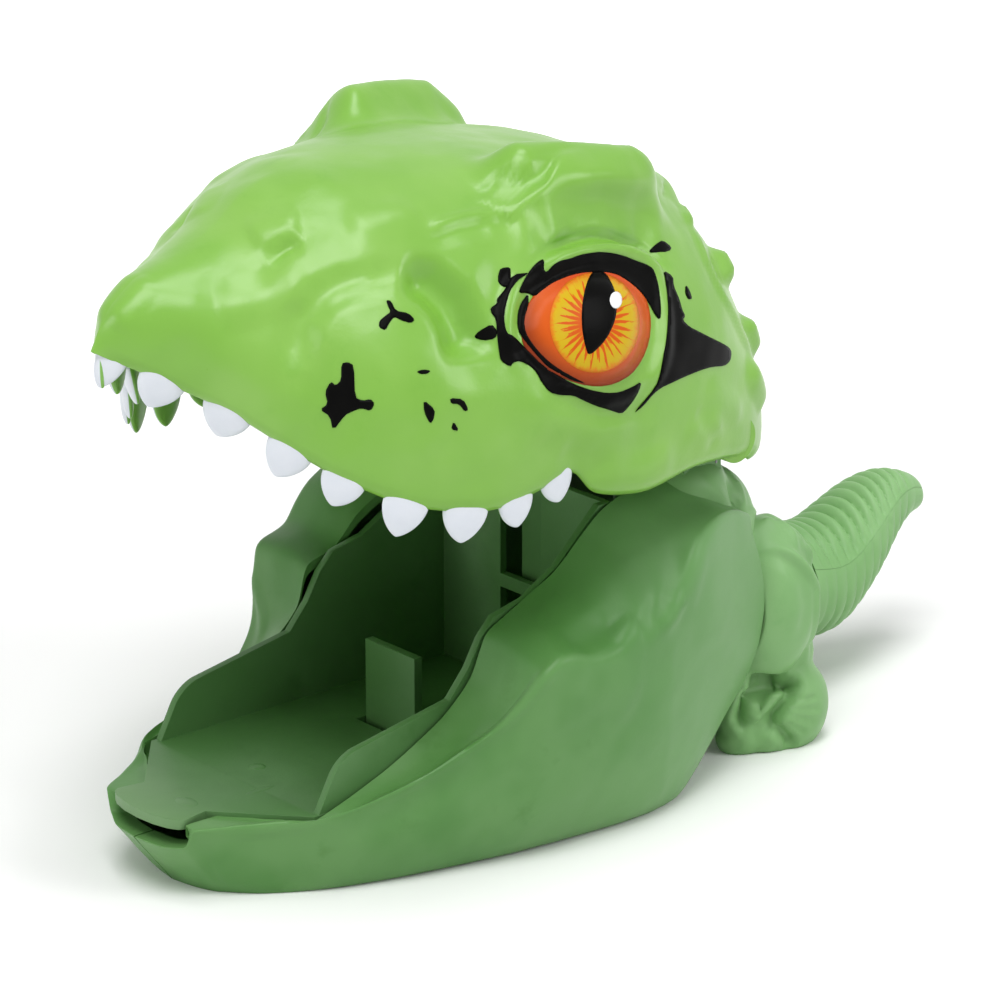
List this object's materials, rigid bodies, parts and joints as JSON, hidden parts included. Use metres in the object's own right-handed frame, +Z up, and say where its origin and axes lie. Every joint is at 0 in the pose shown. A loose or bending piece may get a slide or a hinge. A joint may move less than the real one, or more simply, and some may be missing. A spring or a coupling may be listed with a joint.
{
  "type": "snapping dinosaur mouth toy",
  "caption": "Hard plastic snapping dinosaur mouth toy: a hinged toothed head over a hollow lower jaw with a car tray, a kicker paddle and a tail that is pressed down.",
  "frame": {"origin": "centre of the bounding box on the table, under the rear part of the jaw tray", "axes": "+X to the animal's left, +Y to its tail, +Z up; it looks along -Y"},
  "size_m": [0.1048, 0.2294, 0.147],
  "materials": {
    "head_plastic": "light green satin moulding",
    "jaw_plastic": "mid green satin moulding",
    "tray_plastic": "dark green fine matte",
    "body_plastic": "pale mid green matte",
    "pin_steel": "bright steel"
  },
  "bodies": {
    "base": {"jaw_casing_left": "jaw_plastic", "jaw_casing_right": "jaw_plastic", "mouth_tray": "tray_plastic", "kicker_pin": "pin_steel", "head_hinge_pin": "pin_steel", "head_spring": "pin_steel", "hind_body_left": "body_plastic", "hind_body_right": "body_plastic", "tail_pin": "pin_steel", "tail_return_spring": "pin_steel", "tray_screw_1": "pin_steel", "tray_screw_2": "pin_steel", "tray_screw_3": "pin_steel", "tray_screw_4": "pin_steel", "casing_screw_front": "pin_steel", "casing_screw_rear": "pin_steel", "hind_screw_upper": "pin_steel", "hind_screw_lower": "pin_steel"},
    "head": {"head_shell": "head_plastic"},
    "kicker": {"launch_kicker": "tray_plastic"},
    "tail": {"tail_lever": "body_plastic", "tail_back": "body_plastic"}
  },
  "joints": [
    {"name": "head_hinge", "type": "hinge", "parent": "base", "child": "head", "pos_m": [0, 0.02, 0.078], "axis": [1, 0, 0], "range_deg": [0, 32], "stiffness_Nm_per_rad": 0.06, "springref_deg": -51.57, "deforming": ["head_spring"]},
    {"name": "tail_press", "type": "hinge", "parent": "base", "child": "tail", "pos_m": [0, 0.044, 0.026], "axis": [1, 0, 0], "range_deg": [-4, 0], "stiffness_Nm_per_rad": 0.06, "springref_deg": 17.19, "deforming": ["tail_return_spring"]},
    {"name": "kicker_swing", "type": "hinge", "parent": "base", "child": "kicker", "pos_m": [0, -0.037, 0.0135], "axis": [1, 0, 0], "range_deg": [0, 24.5]}
  ],
  "couplings": [
    {"joint": "kicker_swing", "follows": "tail_press", "ratio": -6}
  ]
}
